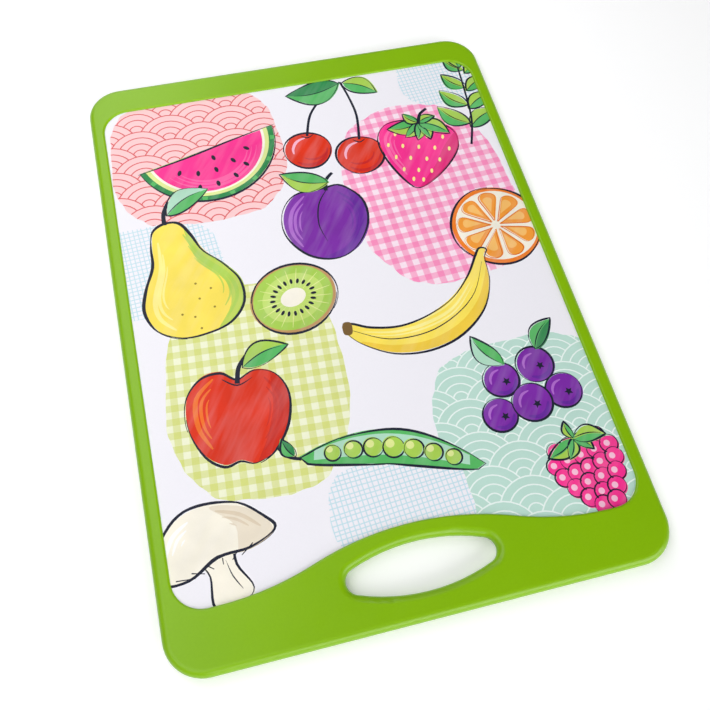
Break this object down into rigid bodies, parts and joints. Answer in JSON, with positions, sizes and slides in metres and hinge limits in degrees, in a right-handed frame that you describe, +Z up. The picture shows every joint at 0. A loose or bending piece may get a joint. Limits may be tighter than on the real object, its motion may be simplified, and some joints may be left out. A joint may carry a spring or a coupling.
{
  "type": "kitchen cutting board",
  "caption": "Flat rectangular cutting board with a printed panel, a soft moulded rim that wraps its edge, and a lens-shaped grip hole through the wide end of the rim.",
  "frame": {"origin": "centre of the board's outline, on the plane that it lies on", "axes": "+X across the board, +Y along it from the grip end to the far end, +Z up out of the printed face"},
  "size_m": [0.254, 0.3564, 0.008],
  "materials": {
    "board_plastic": "fine matt texture, white",
    "printed_film": "satin film with a printed pattern of fruit and checked patches on white",
    "soft_rim": "smooth soft-touch satin, leaf green"
  },
  "bodies": {
    "root": {"core_board": "board_plastic", "printed_film": "printed_film", "soft_rim": "soft_rim"}
  },
  "joints": []
}
